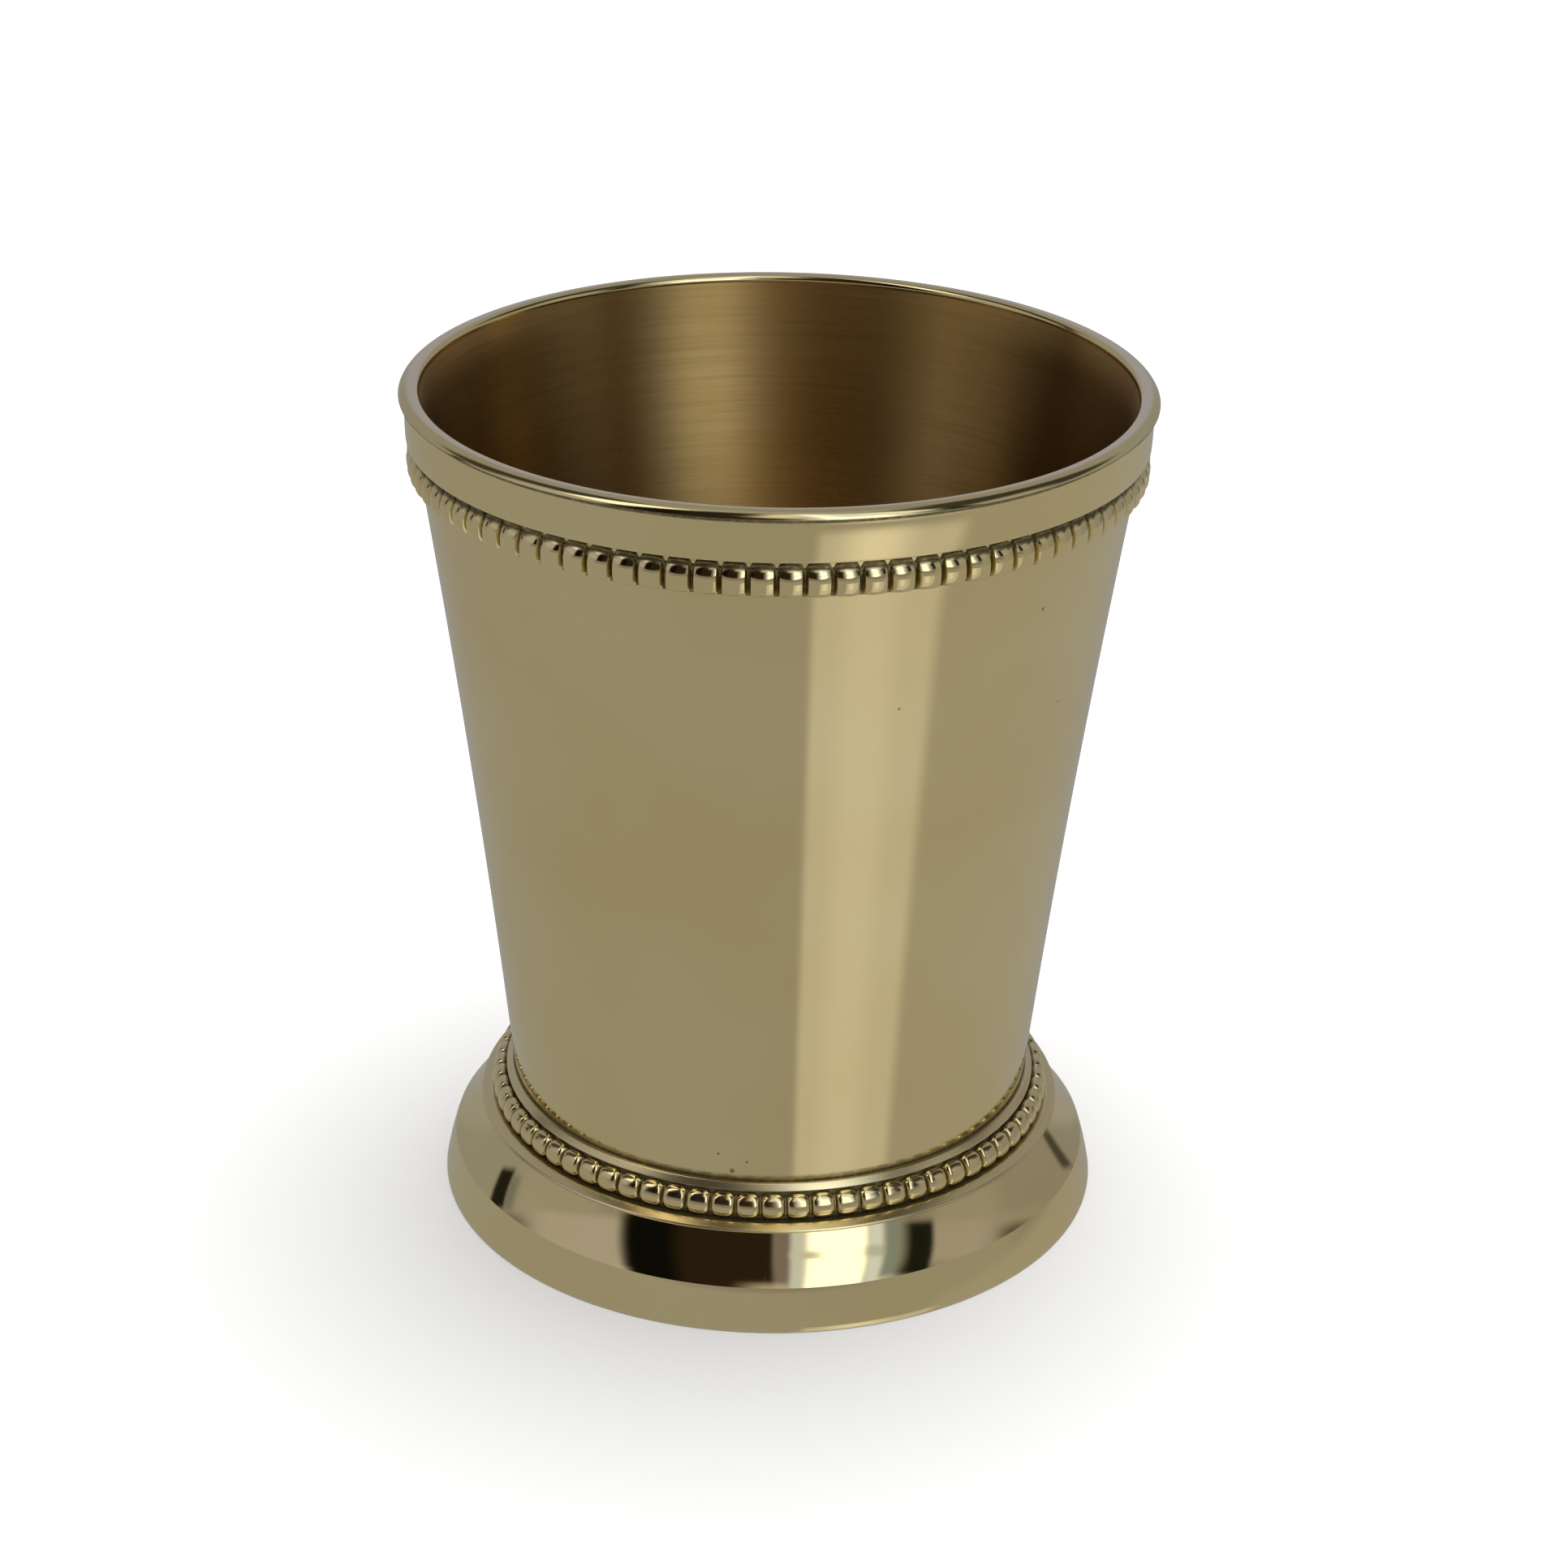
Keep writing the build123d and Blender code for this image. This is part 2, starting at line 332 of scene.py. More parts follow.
# ---------------------------------------------------------------- shader helpers
class Graph:
    """Short calls for building one node tree."""

    def __init__(self, tree):
        self.tree = tree
        tree.nodes.clear()

    def node(self, kind, inputs=(), **settings):
        """Add a node; an input is either another node's output or a constant."""
        made = self.tree.nodes.new(kind)
        for key, value in settings.items():
            setattr(made, key, value)
        for key, value in dict(inputs).items():
            self.feed(made.inputs[key], value)
        return made

    def feed(self, socket, value):
        """Link an output to a socket, or set the socket to a constant."""
        if isinstance(value, bpy.types.NodeSocket):
            self.tree.links.new(value, socket)
        else:
            socket.default_value = value

    def math(self, operation, a, b=0.0, clamp=False):
        made = self.node("ShaderNodeMath", {0: a, 1: b}, operation=operation, use_clamp=clamp)
        return made.outputs[0]

    def ramp(self, value, low, high, out_low=0.0, out_high=1.0):
        """A smooth step from out_low at low to out_high at high, level beyond them."""
        made = self.node(
            "ShaderNodeMapRange",
            {
                "Value": value,
                "From Min": low,
                "From Max": high,
                "To Min": out_low,
                "To Max": out_high,
            },
            interpolation_type="SMOOTHSTEP",
        )
        return made.outputs[0]

    def mix(self, factor, a, b):
        """Colour a where the factor is 0, colour b where it is 1."""
        made = self.node("ShaderNodeMix", data_type="RGBA")
        factor_in, a_in, b_in = made.inputs[0], made.inputs[6], made.inputs[7]
        self.feed(factor_in, factor)
        self.feed(a_in, a)
        self.feed(b_in, b)
        return made.outputs[2]

    def noise(self, vector, scale, detail=2.0, roughness=0.5):
        made = self.node(
            "ShaderNodeTexNoise",
            {"Vector": vector, "Scale": scale, "Detail": detail, "Roughness": roughness},
        )
        return made.outputs["Fac"]

    def stretched_noise(self, vector, scales, detail, roughness):
        """Noise with its own scale along X, Y and Z."""
        made = self.node("ShaderNodeMapping", {"Vector": vector, "Scale": scales})
        return self.noise(made.outputs[0], 1.0, detail, roughness)

    def object_place(self):
        return self.node("ShaderNodeTexCoord").outputs["Object"]

    def mark(self, name):
        """A value stored on the mesh's points."""
        return self.node("ShaderNodeAttribute", attribute_name=name).outputs["Fac"]

    def bump(self, strength, distance, height):
        """Normal of a relief whose full height is a distance in metres."""
        inputs = {"Strength": strength, "Distance": distance, "Height": height}
        return self.node("ShaderNodeBump", inputs).outputs[0]

    def metal(self, tint, rough, normal, **more):
        """Finish a material with a metallic shader."""
        inputs = {"Base Color": tint, "Metallic": 1.0, "Roughness": rough, "Normal": normal}
        shader = self.node("ShaderNodeBsdfPrincipled", inputs | more).outputs[0]
        self.node("ShaderNodeOutputMaterial", {"Surface": shader})


def new_material(name):
    """An empty material and the graph that fills it."""
    material = bpy.data.materials.new(name)
    material.use_nodes = True
    return material, Graph(material.node_tree)


def colour(r, g, b):
    return (r, g, b, 1.0)


# ---------------------------------------------------------------- materials
BRASS = colour(0.90, 0.775, 0.425)
BRASS_WARM = colour(0.86, 0.715, 0.36)
BRASS_PALE = colour(0.92, 0.81, 0.50)
TARNISH = colour(0.30, 0.21, 0.08)
# Colour of the dirt and painted shade in joins, grooves and hollows.
DIRT_AND_SHADE_TINT = colour(0.24, 0.20, 0.095)
SATIN = colour(0.78, 0.56, 0.23)
SATIN_WARM = colour(0.73, 0.50, 0.18)
SATIN_LINES = colour(0.64, 0.43, 0.14)
# Colour of the painted shade inside the cup at its left and right.
SATIN_PAINTED_SHADE = colour(0.17, 0.10, 0.03)
SOLDER = colour(0.60, 0.56, 0.46)
SOLDER_DULL = colour(0.42, 0.36, 0.27)

# Scales of the noise, in features to the metre, along X, Y and Z where there are three.
CLOUDS = 60.0
RAGGED = 2500.0
TURNED_LINES = (40.0, 40.0, 9000.0)
SCRATCHES = (2600.0, 300.0, 420.0)
SATIN_CLOUDS = 70.0
FINE_LINES = (70.0, 70.0, 11000.0)
BROAD_LINES = (120.0, 120.0, 2600.0)
SOLDER_LUMPS = 900.0

# Pits in the cup's wall: azimuth in degrees from the front, height in mm, radius in mm.
WALL_PITS = [
    (20.1, 44.7, 0.16),
    (55.9, 41.6, 0.17),
    (46.3, 49.5, 0.14),
    (-7.5, 9.5, 0.20),
    (-10.4, 10.8, 0.12),
    (-4.4, 10.3, 0.12),
]


def pit_mask(g, place, ragged, azimuth, height, radius):
    """1 inside a pit with a ragged edge and 0 outside it."""
    wall = (SEAT_HIGH[0] + (height - SEAT_HIGH[1]) * PIT_LEAN) * MM
    angle = math.radians(azimuth)
    centre = (wall * math.sin(angle), -wall * math.cos(angle), height * MM)
    away = g.node("ShaderNodeVectorMath", {0: place, 1: centre}, operation="DISTANCE")
    ragged_edge = g.math("MULTIPLY", g.math("SUBTRACT", ragged, 0.5), radius * MM)
    away = g.math("ADD", away.outputs["Value"], ragged_edge)
    return g.ramp(away, radius * MM * 0.6, radius * MM * 1.1, 1.0, 0.0)


def polished_brass(name, roughness, pits=()):
    """Polished brass: faint clouds, turned lines, hairline scratches, worn edges, and dirt with
    painted shade in joins and hollows.
    """
    material, g = new_material(name)
    place = g.object_place()
    edge = g.mark("edge")
    clouds = g.noise(place, CLOUDS, 3.0)
    tint = g.mix(g.ramp(clouds, 0.30, 0.75), BRASS, BRASS_WARM)
    tint = g.mix(g.math("MULTIPLY", edge, 0.5), tint, BRASS_PALE)
    turned_lines = g.stretched_noise(place, TURNED_LINES, 3.0, 0.6)
    scratches = g.ramp(g.stretched_noise(place, SCRATCHES, 2.0, 0.4), 0.70, 0.76)
    cloudy = g.ramp(clouds, 0.3, 0.7, -0.006, 0.008)
    grain = g.math("ADD", cloudy, g.math("MULTIPLY", scratches, 0.04))
    grain = g.math("ADD", grain, g.ramp(turned_lines, 0.3, 0.7, -0.006, 0.010))
    rough = g.math("ADD", grain, roughness, clamp=True)
    relief = g.math("ADD", turned_lines, g.math("MULTIPLY", scratches, -0.6))
    ragged = g.noise(place, RAGGED, 2.0)
    # Dirt and painted shade: darker and rougher in joins, grooves and gaps, where shade falls.
    dirt_and_shade = g.math("MULTIPLY", g.mark("dirt_and_shade"), g.ramp(ragged, 0.25, 0.6, 0.75, 1.0))
    tint = g.mix(dirt_and_shade, tint, DIRT_AND_SHADE_TINT)
    rough = g.math("ADD", rough, g.math("MULTIPLY", dirt_and_shade, 0.40), clamp=True)
    for azimuth, height, radius in pits:
        pit = pit_mask(g, place, ragged, azimuth, height, radius)
        tint = g.mix(g.math("MULTIPLY", pit, 0.8), tint, TARNISH)
        rough = g.math("ADD", rough, g.math("MULTIPLY", pit, 0.3), clamp=True)
        relief = g.math("SUBTRACT", relief, g.math("MULTIPLY", pit, 6.0))
    g.metal(tint, rough, g.bump(0.02, 0.02 * MM, relief))
    return material


def satin_brass(name):
    """The cup's inside: satin, with fine lines left by the spinning tool and painted shade at its
    sides.
    """
    material, g = new_material(name)
    place = g.object_place()
    fine = g.stretched_noise(place, FINE_LINES, 2.0, 0.6)
    broad = g.stretched_noise(place, BROAD_LINES, 3.0, 0.6)
    clouds = g.noise(place, SATIN_CLOUDS, 3.0)
    lines = g.math("ADD", g.math("MULTIPLY", fine, 0.5), g.math("MULTIPLY", broad, 0.5))
    tint = g.mix(g.ramp(clouds, 0.35, 0.7), SATIN, SATIN_WARM)
    tint = g.mix(g.ramp(lines, 0.35, 0.7), tint, SATIN_LINES)
    # Painted shade: darker at the left and right of the inside, from a little below the lip
    # downwards.
    parts = g.node("ShaderNodeSeparateXYZ", {0: place}).outputs
    sideways = g.ramp(g.math("ABSOLUTE", parts[0]), 11 * MM, 21 * MM)
    painted_shade = g.math("MULTIPLY", sideways, g.ramp(parts[2], 58.8 * MM, 55.5 * MM, 0.0, 0.80))
    tint = g.mix(painted_shade, tint, SATIN_PAINTED_SHADE)
    rough = g.ramp(lines, 0.3, 0.7, 0.36, 0.42)
    round_z = g.node("ShaderNodeTangent", direction_type="RADIAL", axis="Z").outputs[0]
    brushed = {"Anisotropic": 0.96, "Anisotropic Rotation": 0.25, "Tangent": round_z}
    g.metal(tint, rough, g.bump(0.10, 0.03 * MM, lines), **brushed)
    return material


def hard_solder(name):
    """Dull, slightly pitted solder under the foot."""
    material, g = new_material(name)
    lumps = g.noise(g.object_place(), SOLDER_LUMPS, 4.0)
    tint = g.mix(g.ramp(lumps, 0.35, 0.65), SOLDER, SOLDER_DULL)
    rough = g.ramp(lumps, 0.3, 0.7, 0.38, 0.6)
    g.metal(tint, rough, g.bump(0.5, 0.1 * MM, lumps))
    return material


outside_brass = polished_brass("brass_polished_wall", 0.07, pits=WALL_PITS)
lip_brass = polished_brass("brass_polished_lip", 0.10)
band_brass = polished_brass("brass_polished_band", 0.07)
bead_brass = polished_brass("brass_beads", 0.08)
pearl_brass = polished_brass("brass_pearls", 0.14)
collar_brass = polished_brass("brass_collar", 0.26)
foot_brass = polished_brass("brass_polished_foot", 0.05)
inside_brass = satin_brass("brass_satin_inside")
solder_metal = hard_solder("hard_solder")


# ---------------------------------------------------------------- cup
def cup_body():
    """Wall and floor in one sheet: polished outside, satin inside."""
    mouth = (MOUTH_RADIUS, MOUTH_HEIGHT)
    floor_top = FLOOR_UNDERSIDE + FLOOR_THICKNESS
    floor_edge = SEAT_LOW[0] - HEEL_RUN
    inner_heel = (INNER_HEEL_TOP[0] - INNER_HEEL_DRAW, floor_top)
    dirt_and_shade_full, dirt_and_shade_none = 0.10, 0.50     # heights above the collar's seat
    outside = [(0, FLOOR_UNDERSIDE), (floor_edge / 2, FLOOR_UNDERSIDE)]
    outside += outer_heel()
    for rise in (0.0, 0.12, 0.28, dirt_and_shade_none):
        outside.append((SEAT_HIGH[0] + FLARE_LEAN * rise, SEAT_HIGH[1] + rise))
    outside += bezier(SEAT_HIGH, FLARE_HANDLE, SHOULDER, 48)[1:]
    outside.append(mouth)
    inside = [inward(mouth)]
    inside += bezier(inward(SHOULDER), inward(FLARE_HANDLE), inward(SEAT_HIGH), 48)
    inside += bezier(INNER_HEEL_TOP, inner_heel, (floor_edge - SHEET, floor_top), 12)
    inside += [(floor_edge / 2, floor_top), (0, floor_top)]

    def dirt_and_shade(radius, height):
        """Dirt and painted shade: a dark line where the wall meets the foot's collar."""
        if radius <= SEAT_HIGH[0] - 0.1:
            return 0.0
        return fade(height, SEAT_HIGH[1] + dirt_and_shade_full, SEAT_HIGH[1] + dirt_and_shade_none)

    both = [outside_brass, inside_brass]
    turn_cup("cup_wall_and_floor", outside, inside, both, "cup_body", dirt_and_shade)


# ---------------------------------------------------------------- rim
def rim_wire():
    """Half-round lip: a round outer face, a crest, a tighter inner edge and a flat seat."""
    centre_height = LIP_TOP - LIP_ROUND
    seat_drop = LIP_SEAT - centre_height
    crest = LIP_RADIUS - math.sqrt(LIP_ROUND ** 2 - seat_drop ** 2)
    low_angle = math.degrees(math.asin(seat_drop / LIP_ROUND))
    outer = ellipse((crest, centre_height), LIP_ROUND, LIP_ROUND, low_angle, 90, 26)
    inner = bezier((crest, LIP_TOP), (LIP_INNER_RADIUS, LIP_TOP), (LIP_INNER_RADIUS, LIP_SEAT), 20)
    points = [(LIP_RADIUS - SUPPORT, LIP_SEAT)] + outer + inner[1:]
    section = (points, [0.0] * len(points))
    dirt_and_shade_height = 0.06

    def dirt_and_shade(radius, height):
        """Dirt and painted shade: a dark line along the seat's outer edge."""
        return fade(height, LIP_SEAT, LIP_SEAT + dirt_and_shade_height) if radius > crest else 0.0

    turn("rim_lip_wire", section, lip_brass, "rim_wire", dirt_and_shade)


def rim_band():
    """Plain strip: a rounded foot, a slightly crowned face and a corner under the lip darkened by
    dirt and painted shade.
    """
    face_low = BAND_FOOT + 0.16
    face_high = BAND_TOP - 0.36     # where the corner's dirt and painted shade end
    corner_low = BAND_TOP - 0.28    # and where it is full
    foot_dirt_and_shade_height = 0.05
    edge_radius = BAND_RADIUS - BAND_CROWN
    middle = (BAND_FOOT + BAND_TOP) / 2
    crown = (BAND_RADIUS + BAND_CROWN, middle)
    face = bezier((edge_radius, face_low), crown, (edge_radius, face_high), 14)
    corners = plain([(upper_wall(BAND_FOOT), BAND_FOOT)])
    corners += [(edge_radius - BAND_FOOT_INSET, BAND_FOOT, BAND_FOOT_ROUND)]
    corners += plain(face)
    corners += plain([(edge_radius, corner_low), (edge_radius, BAND_TOP), (MOUTH_RADIUS, BAND_TOP)])

    def dirt_and_shade(radius, height):
        """Dirt and painted shade in the corner under the lip and along the foot of the band."""
        under_lip = fade(height, corner_low, face_high)
        return max(under_lip, fade(height, BAND_FOOT, BAND_FOOT + foot_dirt_and_shade_height))

    turn("rim_plain_band", rounded(corners), band_brass, "rim_band", dirt_and_shade)


def rim_beading():
    """A wire of cut beads: upright below, sloped back above, pillowed from side to side."""
    centre_radius = BEAD_RADIUS - RIM_BEAD_REACH
    belly_height = (BEAD_FOOT + BEAD_TOP) / 2 - 0.06
    foot_squareness, top_squareness = 3.2, 1.65
    dirt_and_shade_reach = (0.26, 0.42)       # out from the wall: full dirt and painted shade, none
    across = both_sides([-1, -0.95, -0.9, -0.84, -0.78, -0.7, -0.54, -0.34, -0.12])
    chance = random.Random(5)
    unevenness = []                 # of each bead: its reach, and the height of its belly
    for _ in range(RIM_BEADS):
        unevenness.append((chance.uniform(-0.02, 0.0), chance.uniform(-0.03, 0.03)))

    def section_at(place, bead):
        grow, shift = unevenness[bead]
        groove = 1.0 - fade(abs(place), *RIM_GROOVE)
        groove = groove * groove * (3 - 2 * groove)

        def drawn_in(at_sides, in_groove):
            """How far the bead draws in from its middle at this place."""
            return at_sides * place * place + in_groove * groove

        out = RIM_BEAD_REACH + grow - drawn_in(0.19, 0.38)
        foot = BEAD_FOOT + 0.05 + drawn_in(0.06, 0.16)
        top = BEAD_TOP - 0.06 - drawn_in(0.10, 0.24)
        belly = belly_height + shift
        centre = (centre_radius, belly)
        low = ellipse(centre, out, belly - foot, -90, 0, 11, foot_squareness)
        high = ellipse(centre, out, top - belly, 0, 90, 14, top_squareness)[1:]
        wall_foot = upper_wall(BEAD_FOOT)
        points = [(wall_foot, BEAD_FOOT), (wall_foot + RIM_STRIP, BEAD_FOOT + 0.02)]
        points += [(max(r, upper_wall(z) + RIM_STRIP), z) for r, z in low + high]
        points += [(upper_wall(top), top)]
        # Dirt and painted shade in the grooves and against the wall.
        dirt_and_shade = [max(0.9 * groove, fade(r - upper_wall(z), *dirt_and_shade_reach)) for r, z in points]
        return points, dirt_and_shade

    bead_ring(
        "rim_bead_wire", RIM_BEADS, 0.0, across, section_at,
        bead_brass, "rim_beading",
    )


# ---------------------------------------------------------------- foot
def foot_collar():
    """Stepped ring: a rounded lip, the steep seat of the pearls, a channel and a narrow shelf."""
    shelf_top = FOOT_TOP + SHELF_RISE
    lip_middle = 8.5                # height that parts the dirt and painted shade on the lip from that below it
    lip_dirt_and_shade = (18.25, 18.33)       # radii on the lip, against the cup: full dirt and painted shade, none
    undercut_dirt_and_shade = (8.27, 8.32)    # heights under the lip
    channel_dirt_and_shade = (19.55, 19.85)   # radii in the channel, from the pearls' seat outwards
    corners = [
        (*SEAT_LOW, 0),
        (SEAT_HIGH[0] - COLLAR_TOP_INSET, COLLAR_TOP, 0.03),
        (*COLLAR_LIP_TOP, 0.10),
        (*COLLAR_LIP_FOOT, 0.06),
        (*PEARL_SEAT_TOP, 0.05),
        (*PEARL_SEAT_FOOT, 0.20),
        (*CHANNEL_END, 0.20),
        (SHELF_RADIUS - SHELF_BEVEL[0], shelf_top, 0.08),
        (SHELF_RADIUS, shelf_top - SHELF_BEVEL[1], 0.05),
        (SHELF_RADIUS - SHELF_UNDERCUT, FOOT_TOP, 0),
        (SEAT_LOW[0], FOOT_TOP, 0),
    ]

    def dirt_and_shade(radius, height):
        """Dirt and painted shade against the cup, under the lip, on the pearls' seat and at its
        foot.
        """
        if height > lip_middle:
            return fade(radius, *lip_dirt_and_shade)
        return min(fade(height, *undercut_dirt_and_shade), fade(radius, *channel_dirt_and_shade))

    section = rounded(corners)
    turn("foot_collar_ring", section, collar_brass, "foot_collar", dirt_and_shade)


def foot_beading():
    """A wire of oval pearls with rounded corners, leaning on their steep seat."""
    lean = math.radians(PEARL_TILT)
    strip_half_length, strip_reach = PEARL_STRIP
    squareness = 2.3
    dirt_and_shade_reach = (0.10, 0.27)       # out from the wire's centre: full dirt and painted shade, none
    gap_dirt_and_shade = (1.0, 0.88)          # shares of a pearl's half width: full dirt and painted shade, none
    across = both_sides([-1, -0.95, -0.90, -0.86, -0.80, -0.70, -0.55, -0.35, -0.12])
    chance = random.Random(9)
    unevenness = [chance.uniform(-0.02, 0.0) for _ in range(FOOT_BEADS)]

    def section_at(place, bead):
        share = min(1.0, abs(place) / PEARL_SHARE)
        square = (1 - share ** 3.6) ** (1 / 3.2)
        dome = (1 - 0.07 * share ** 2) * (1 - share ** 10) ** 0.5
        length = max(strip_half_length, square * PEARL_HALF_LENGTH)
        reach_out = max(strip_reach, dome * (PEARL_REACH + unevenness[bead]))
        points, dirt_and_shade = [], []
        for along, out in ellipse((0.0, 0.0), length, reach_out, 0, 360, 32, squareness)[:-1]:
            out = max(out, PEARL_BACK)
            # Dirt and painted shade in the gaps between pearls and against their seat.
            dirt_and_shade.append(max(fade(out, *dirt_and_shade_reach), 0.85 * fade(share, *gap_dirt_and_shade)))
            points.append((
                PEARL_CENTRE[0] + out * math.cos(lean) - along * math.sin(lean),
                PEARL_CENTRE[1] + out * math.sin(lean) + along * math.cos(lean),
            ))
        return points, dirt_and_shade

    bead_ring(
        "foot_pearl_wire", FOOT_BEADS, FOOT_GAP_TURN, across, section_at,
        pearl_brass, "foot_beading",
    )


def foot_shell():
    """The spun foot: a slightly hollow slope, its underside and a flange under the collar."""
    crease = (CREASE_RADIUS, CREASE_HEIGHT)
    under_crease = (FOOT_INNER_RADIUS, CREASE_HEIGHT)
    under_flange = (SHELF_RADIUS - FOOT_SHEET, FLANGE_LOW)
    corners = plain([(SOLDER_RADIUS, FOOT_TOP)])
    corners += plain(bezier((SHELF_RADIUS, FOOT_TOP), SLOPE_HOLLOW, crease, 16))
    corners += plain(bezier(under_crease, UNDER_HOLLOW, under_flange, 12))
    corners += [(SOLDER_RADIUS, FOOT_TOP - FOOT_SHEET, 0.1)]
    turn("foot_spun_shell", rounded(corners), foot_brass, "foot_shell")


def foot_band():
    """The plain band that the cup stands on, swelling a little between crease and edge."""
    crease = (CREASE_RADIUS, CREASE_HEIGHT)
    corners = plain([(FOOT_INNER_RADIUS, CREASE_HEIGHT)])
    corners += plain(bezier(crease, BAND_BELLY, (FOOT_RADIUS, FOOT_EDGE_HEIGHT), 14))
    corners += [(FOOT_RADIUS, GROUND, 0.2), (FOOT_INNER_RADIUS, GROUND, 0.15)]
    turn("foot_plain_band", rounded(corners), foot_brass, "foot_band")


def foot_solder():
    """The run of solder in the corner between the cup's heel, the collar and the flange."""
    inner_end = (SOLDER_INNER_RADIUS, FLOOR_UNDERSIDE)
    face = bezier((SOLDER_RADIUS, FLANGE_LOW), SOLDER_HOLLOW, inner_end, 14)
    covered_heel = outer_heel()[3:]
    corners = plain(face + covered_heel + [(SEAT_LOW[0], FOOT_TOP), (SOLDER_RADIUS, FOOT_TOP)])
    turn("foot_solder_run", rounded(corners), solder_metal, "foot_solder")


cup_body()
rim_wire()
rim_band()
rim_beading()
foot_collar()
foot_beading()
foot_shell()
foot_band()
foot_solder()

# ---------------------------------------------------------------- studio, metres
FLOOR_HALF_SIDE = 6.0
FLOOR_PAINT = colour(0.86, 0.86, 0.86)
LAMP_PLACE = (0.1, 0.2, 1.4)
LAMP_DIAMETER = 1.6
LAMP_WATTS = 28.0
SOFT_LIGHT = colour(0.36, 0.36, 0.36)       # what lights the floor from all round
BACKDROP = colour(0.94, 0.94, 0.94)         # what the camera sees behind the cup


def studio_floor():
    """A plain pale floor that the brass doesn't mirror."""
    material, g = new_material("studio_floor")
    shader = g.node(
        "ShaderNodeBsdfPrincipled",
        {"Base Color": FLOOR_PAINT, "Roughness": 0.8, "Specular IOR Level": 0.1},
    ).outputs[0]
    g.node("ShaderNodeOutputMaterial", {"Surface": shader})
    mesh = bpy.data.meshes.new("studio_floor")
    side = FLOOR_HALF_SIDE
    corners = [(-side, -side, 0), (side, -side, 0), (side, side, 0), (-side, side, 0)]
    mesh.from_pydata(corners, [], [(0, 1, 2, 3)])
    mesh.materials.append(material)
    floor = bpy.data.objects.new("studio_floor", mesh)
    floor.visible_glossy = False
    bpy.context.scene.collection.objects.link(floor)


def overhead_light():
    """A large soft light that only brightens the pale floor."""
    light = bpy.data.lights.new("overhead", "AREA")
    light.shape = "DISK"
    light.size = LAMP_DIAMETER
    light.energy = LAMP_WATTS
    lamp = bpy.data.objects.new("overhead", light)
    lamp.location = LAMP_PLACE
    towards_cup = Vector((0, 0, 0)) - lamp.location
    lamp.rotation_euler = towards_cup.to_track_quat("-Z", "Y").to_euler()
    lamp.visible_glossy = False
    lamp.visible_camera = False
    bpy.context.scene.collection.objects.link(lamp)


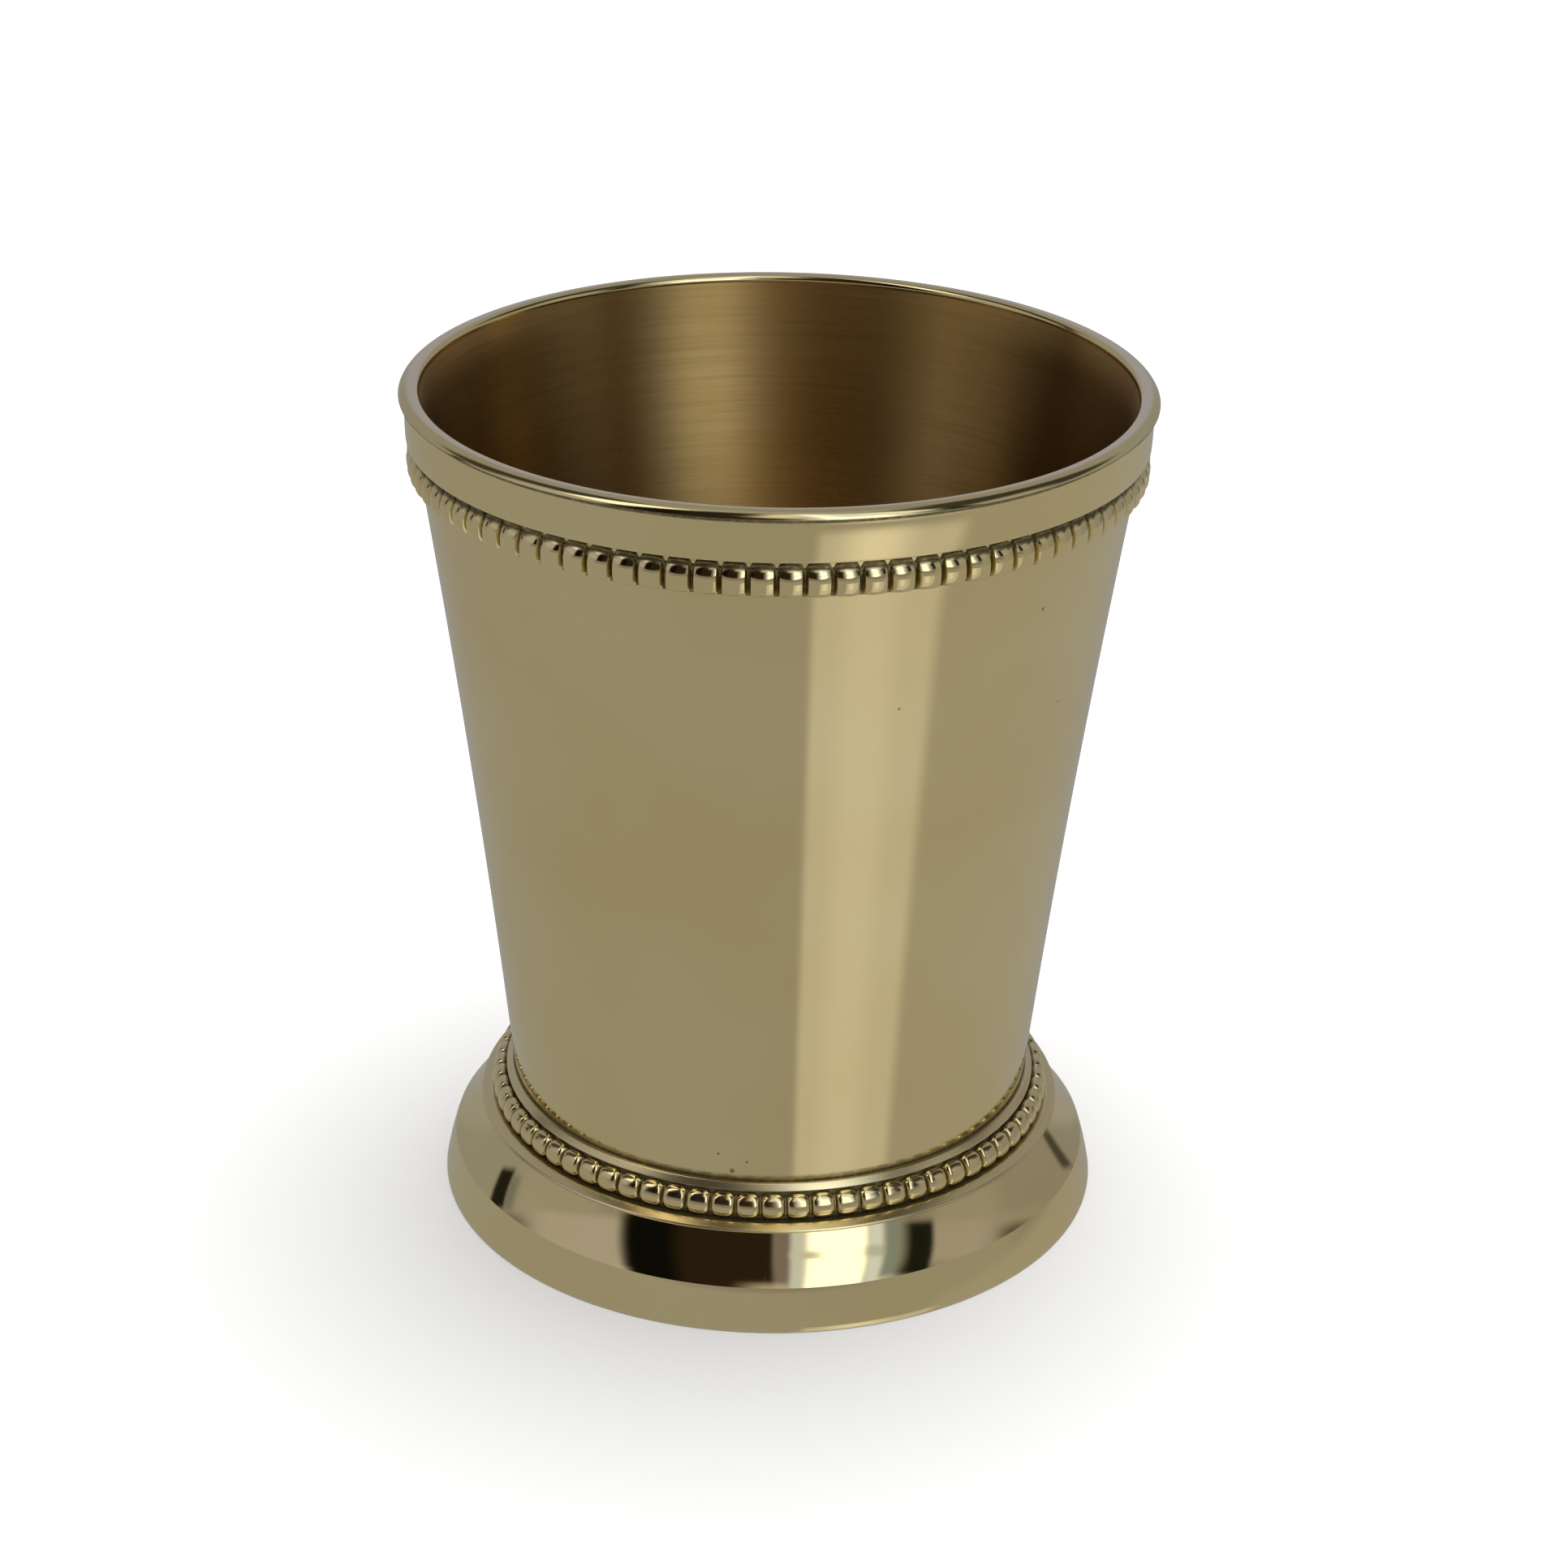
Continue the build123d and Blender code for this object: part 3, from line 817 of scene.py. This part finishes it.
# The room that the brass mirrors.  Each patch is (name, azimuth from, to, elevation from,
# to, softness of its four edges in that order, colour), in degrees, azimuth 0 in front and
# 90 on the right.  A later patch lies over an earlier one.
BENCH = colour(0.335, 0.328, 0.32)
WALLS = colour(0.34, 0.33, 0.34)
UPPER_ROOM = colour(0.045, 0.042, 0.04)
PATCHES = [
    ("left wall", -165, -100, -8, 16, (10, 6, 3, 5), colour(0.30, 0.295, 0.31)),
    ("right wall", 92, 165, -12, 16, (8, 10, 3, 5), colour(0.29, 0.285, 0.30)),
    ("low strip in front", -62, 62, 3, 14, (8, 8, 2, 2), colour(0.24, 0.22, 0.235)),
    ("upper room", -181, 181, 36, 91, (0, 0, 8, 0), UPPER_ROOM),
    ("upper left", -181, -96, 21, 91, (0, 8, 4, 0), UPPER_ROOM),
    ("upper right", 92, 181, 21, 91, (8, 0, 4, 0), UPPER_ROOM),
    ("lit wall left", -90, -54, 16, 44, (8, 3, 2, 6), colour(0.42, 0.40, 0.45)),
    ("lit wall right", 62, 86, 16, 36, (2, 8, 2, 6), colour(0.38, 0.365, 0.40)),
    ("ceiling", -181, 181, 70, 91, (0, 0, 6, 0), colour(0.36, 0.365, 0.39)),
    ("behind on the left", -181, -124, 4, 74, (0, 8, 6, 8), colour(0.30, 0.295, 0.32)),
    ("behind on the right", 124, 181, 4, 74, (8, 0, 6, 8), colour(0.30, 0.295, 0.32)),
    ("back wall left", -181, -164, 4, 34, (0, 7, 6, 8), colour(0.36, 0.37, 0.53)),
    ("back wall right", 164, 181, 4, 34, (7, 0, 6, 8), colour(0.36, 0.37, 0.53)),
    ("dark front", -54, 3, 13.5, 82, (4, 2, 1.5, 8), colour(0.022, 0.014, 0.009)),
    ("its darkest part", -54, -34, 14, 62, (4, 5, 2, 8), colour(0.004, 0.004, 0.003)),
    ("window's left post", 3, 9, 13.5, 80, (1.5, 1.5, 1.5, 5), colour(0.20, 0.17, 0.20)),
    ("window's left pane", 9, 15, 13.5, 80, (1.5, 2, 1.5, 5), colour(0.60, 0.66, 0.88)),
    ("window", 15, 38, 13.5, 80, (2, 2, 1.5, 5), colour(1.65, 1.72, 1.88)),
    ("window's right pane", 38, 44.5, 13.5, 78, (2, 2, 1.5, 5), colour(0.70, 0.80, 1.10)),
    ("window bar, left", 9, 20, 26, 29.5, (2, 4, 1, 1), colour(0.62, 0.64, 0.74)),
    ("window bar, right", 37, 45, 24, 29, (3, 2, 1.5, 1.5), colour(0.50, 0.58, 0.72)),
    ("window's shaded side", 44.5, 51, 13, 52, (2, 3, 2, 5), colour(0.24, 0.29, 0.36)),
    ("window frame", 52, 63.5, 15, 50, (3.5, 1.5, 2, 9), colour(0.010, 0.012, 0.009)),
    ("above the window", 22, 41, 46, 80, (5, 3, 5, 5), colour(0.78, 0.86, 1.22)),
    ("upper lit wall left", -78, -54, 41, 72, (5, 3, 4, 5), colour(1.5, 1.4, 1.35)),
    ("beside the window", -8, 9, 46, 80, (8, 2, 5, 5), colour(0.80, 0.74, 0.68)),
    ("upper shaded side", 43, 56, 42, 70, (2, 3, 4, 5), colour(1.0, 0.98, 0.98)),
    ("left post", -111.5, -105, 3, 19, (1, 1, 1.5, 2), colour(0.014, 0.013, 0.010)),
    ("left post's shade", -105, -101, 5, 19, (0.5, 2, 2, 2), colour(0.19, 0.19, 0.20)),
    ("right post", 127, 132, -10, 3, (1.5, 1.5, 2, 2), colour(0.07, 0.065, 0.065)),
    ("bench on the right", 56, 150, -75, -12, (4, 20, 6, 3), colour(0.37, 0.362, 0.355)),
    ("window on the bench", 12.5, 58, -62, -17, (2, 3.5, 6, 3), colour(0.56, 0.54, 0.55)),
    ("its bright middle", 24, 42, -62, -17, (7, 7, 6, 3), colour(0.62, 0.60, 0.61)),
    ("its bright end", 22, 38, -33, -17, (7, 7, 4, 3), colour(0.80, 0.77, 0.78)),
]
HAIR = 0.01                 # keeps a ramp with no softness from having no width, degrees


def band_mask(g, value, low, high, soft_low, soft_high):
    """1 where a value in degrees lies between low and high, with two soft edges."""
    return g.math(
        "MULTIPLY",
        g.ramp(value, low - soft_low - HAIR, low + soft_low),
        g.ramp(value, high - soft_high, high + soft_high + HAIR, 1.0, 0.0),
    )


def studio_room():
    """World shader: the room seen in the brass, and a plain pale backdrop for the camera."""
    world = bpy.data.worlds.new("studio_room")
    bpy.context.scene.world = world
    world.use_nodes = True
    g = Graph(world.node_tree)
    direction = g.node("ShaderNodeTexCoord").outputs["Generated"]
    parts = g.node("ShaderNodeSeparateXYZ", {0: direction}).outputs
    front = g.math("MULTIPLY", parts[1], -1.0)
    degrees = 180.0 / math.pi
    azimuth = g.math("MULTIPLY", g.math("ARCTAN2", parts[0], front), degrees)
    elevation = g.math("MULTIPLY", g.math("ARCSINE", parts[2]), degrees)
    seen = g.mix(g.ramp(elevation, -2.0, 2.0), BENCH, WALLS)
    for _, left, right, low, high, soft, paint in PATCHES:
        sideways = band_mask(g, azimuth, left, right, soft[0], soft[1])
        upright = band_mask(g, elevation, low, high, soft[2], soft[3])
        seen = g.mix(g.math("MULTIPLY", sideways, upright), seen, paint)
    room = g.node("ShaderNodeBackground", {"Color": seen, "Strength": 1.0}).outputs[0]
    soft_light = g.node("ShaderNodeBackground", {"Color": SOFT_LIGHT}).outputs[0]
    backdrop = g.node("ShaderNodeBackground", {"Color": BACKDROP}).outputs[0]
    rays = g.node("ShaderNodeLightPath").outputs
    lit = g.node("ShaderNodeMixShader", {0: rays["Is Diffuse Ray"], 1: room, 2: soft_light})
    shown = g.node(
        "ShaderNodeMixShader", {0: rays["Is Camera Ray"], 1: lit.outputs[0], 2: backdrop}
    ).outputs[0]
    g.node("ShaderNodeOutputWorld", {"Surface": shown})


def camera():
    """A long lens in front of the cup, looking down on it."""
    yaw, pitch, roll = 0.185, 24.83, 0.95       # degrees to the right, down and round
    place = (0.0, -0.22426, 0.13347)
    data = bpy.data.cameras.new("camera")
    data.sensor_width = 36.0
    data.lens = 81.99
    data.clip_start = 0.01
    data.clip_end = 50.0
    seat = bpy.data.objects.new("camera", data)
    aim = Matrix.Rotation(math.radians(-yaw), 4, "Z")
    aim = aim @ Matrix.Rotation(math.radians(90 - pitch), 4, "X")
    aim = aim @ Matrix.Rotation(math.radians(roll), 4, "Z")
    seat.matrix_world = Matrix.Translation(place) @ aim
    bpy.context.scene.collection.objects.link(seat)
    bpy.context.scene.camera = seat


studio_floor()
overhead_light()
studio_room()
camera()
bpy.context.scene.view_settings.view_transform = "Standard"
bpy.context.scene.view_settings.look = "None"
